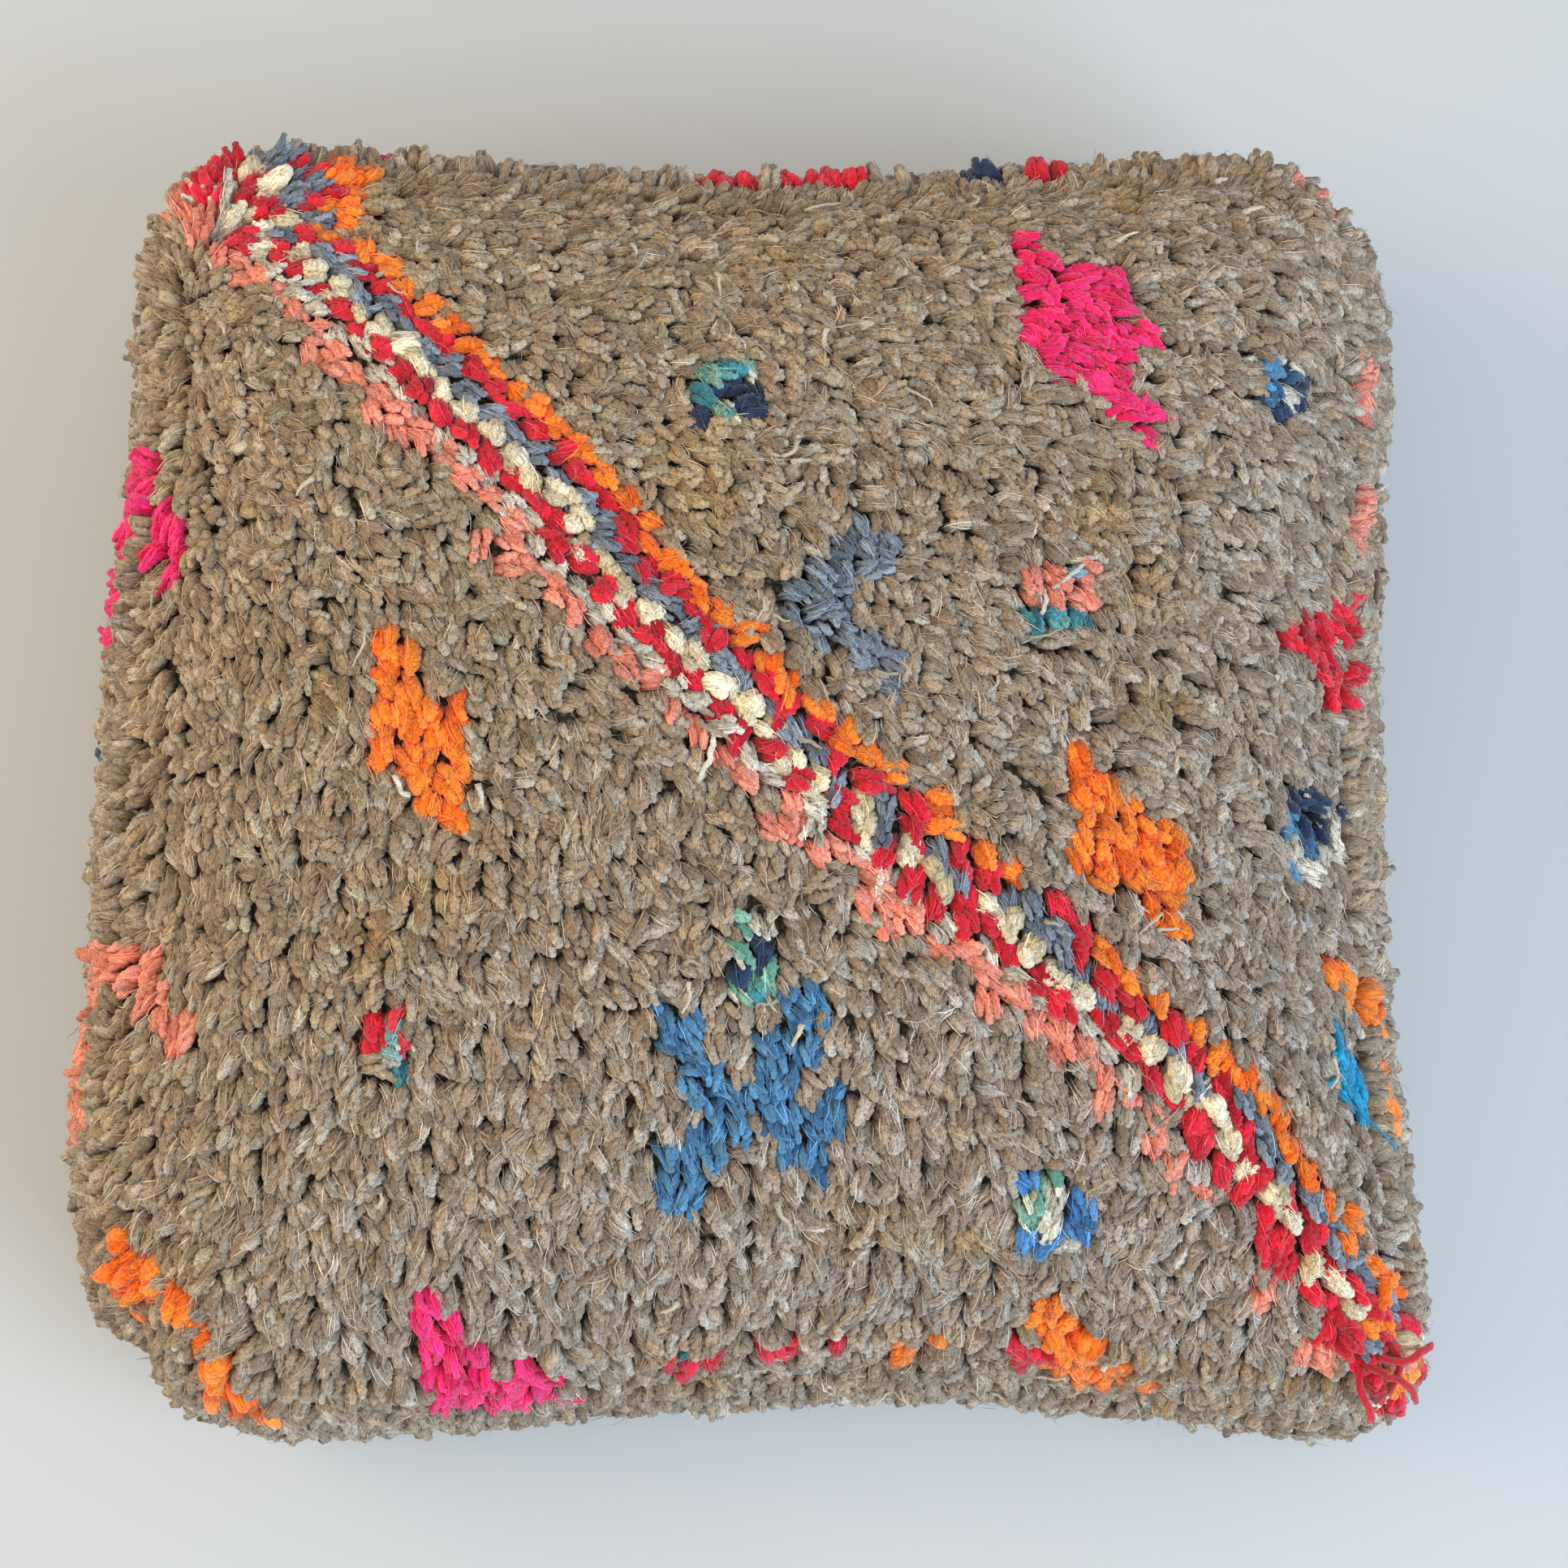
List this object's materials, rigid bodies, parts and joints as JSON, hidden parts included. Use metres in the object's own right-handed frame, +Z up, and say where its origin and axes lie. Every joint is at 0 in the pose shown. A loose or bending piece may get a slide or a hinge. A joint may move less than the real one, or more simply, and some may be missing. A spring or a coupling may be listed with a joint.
{
  "type": "floor cushion",
  "caption": "Square boxed floor cushion in knotted wool pile with a diagonal coloured band, a canvas base with a zip, a liner bag and fibre fill.",
  "frame": {"origin": "middle of the base, where the cushion meets the floor", "axes": "+Z up, +X to the right along the front side, +Y from the front side towards the back side"},
  "size_m": [0.63, 0.63, 0.205],
  "materials": {
    "wool_pile": "matte",
    "wool_ground": "matte",
    "wool_thread": "matte",
    "cotton_thread": "matte",
    "canvas": "matte",
    "calico": "matte",
    "fibre": "matte",
    "zip_tape": "matte",
    "zip_metal": "satin"
  },
  "bodies": {
    "root": {"top_foundation": "wool_ground", "top_pile": "wool_pile", "side_front_foundation": "wool_ground", "side_front_pile": "wool_pile", "side_right_foundation": "wool_ground", "side_right_pile": "wool_pile", "side_back_foundation": "wool_ground", "side_back_pile": "wool_pile", "side_left_foundation": "wool_ground", "side_left_pile": "wool_pile", "top_edge_thread": "wool_thread", "corner_thread": "wool_thread", "base_edge_thread": "cotton_thread", "base_panel_front": "canvas", "base_panel_back": "canvas", "base_join_thread": "cotton_thread", "zip_tape_front": "zip_tape", "zip_tape_back": "zip_tape", "zip_teeth_front": "zip_metal", "zip_teeth_back": "zip_metal", "zip_top_stops": "zip_metal", "zip_bottom_stop": "zip_metal", "zip_thread": "cotton_thread", "liner_top": "calico", "liner_side": "calico", "liner_base": "calico", "liner_thread": "cotton_thread", "fibre_fill": "fibre"},
    "slider": {"zip_slider": "zip_metal"},
    "pull": {"zip_pull": "zip_metal"}
  },
  "joints": [
    {"name": "zip_slide", "type": "slide", "parent": "root", "child": "slider", "axis": [-1, 0, 0], "range_m": [0, 0.42]},
    {"name": "pull_flip", "type": "hinge", "parent": "slider", "child": "pull", "pos_m": [0.2105, 0, 0.0052], "axis": [0, -1, 0], "range_deg": [0, 180]}
  ]
}
